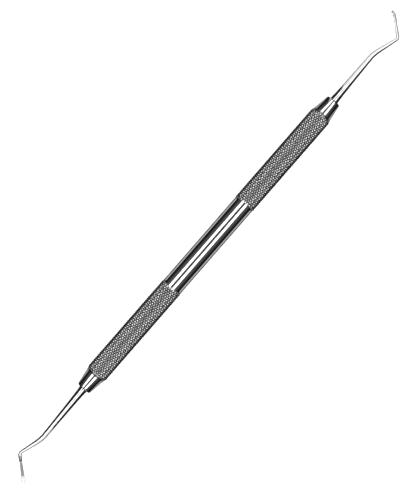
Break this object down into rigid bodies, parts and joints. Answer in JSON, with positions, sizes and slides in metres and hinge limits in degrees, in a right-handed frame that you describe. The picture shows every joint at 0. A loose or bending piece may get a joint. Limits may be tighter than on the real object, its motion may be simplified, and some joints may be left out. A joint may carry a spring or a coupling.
{
  "type": "hand scaler",
  "caption": "Double-ended hand instrument: knurled tube handle with polished conical ends and thin bent shanks that carry small spoon-shaped blades.",
  "frame": {"origin": "centre of the handle, on its axis", "axes": "+X along the handle to the right working end; both shanks bend in the XY plane, the right blade towards +Y and the left one towards -Y; +Z out of that plane, on the side that the left blade's ground face looks to"},
  "size_m": [0.1737, 0.0097, 0.0066],
  "materials": {
    "knurled_steel": "stainless tube, polished in the middle, diamond knurl on both grips with a soft satin shine",
    "polished_steel": "mirror-polished stainless steel",
    "instrument_steel": "polished hardened stainless steel, with a fine-ground satin face on each blade"
  },
  "bodies": {
    "root": {"handle_tube": "knurled_steel", "end_plug_right": "polished_steel", "end_plug_left": "polished_steel", "working_end_right": "instrument_steel", "working_end_left": "instrument_steel"}
  },
  "joints": []
}
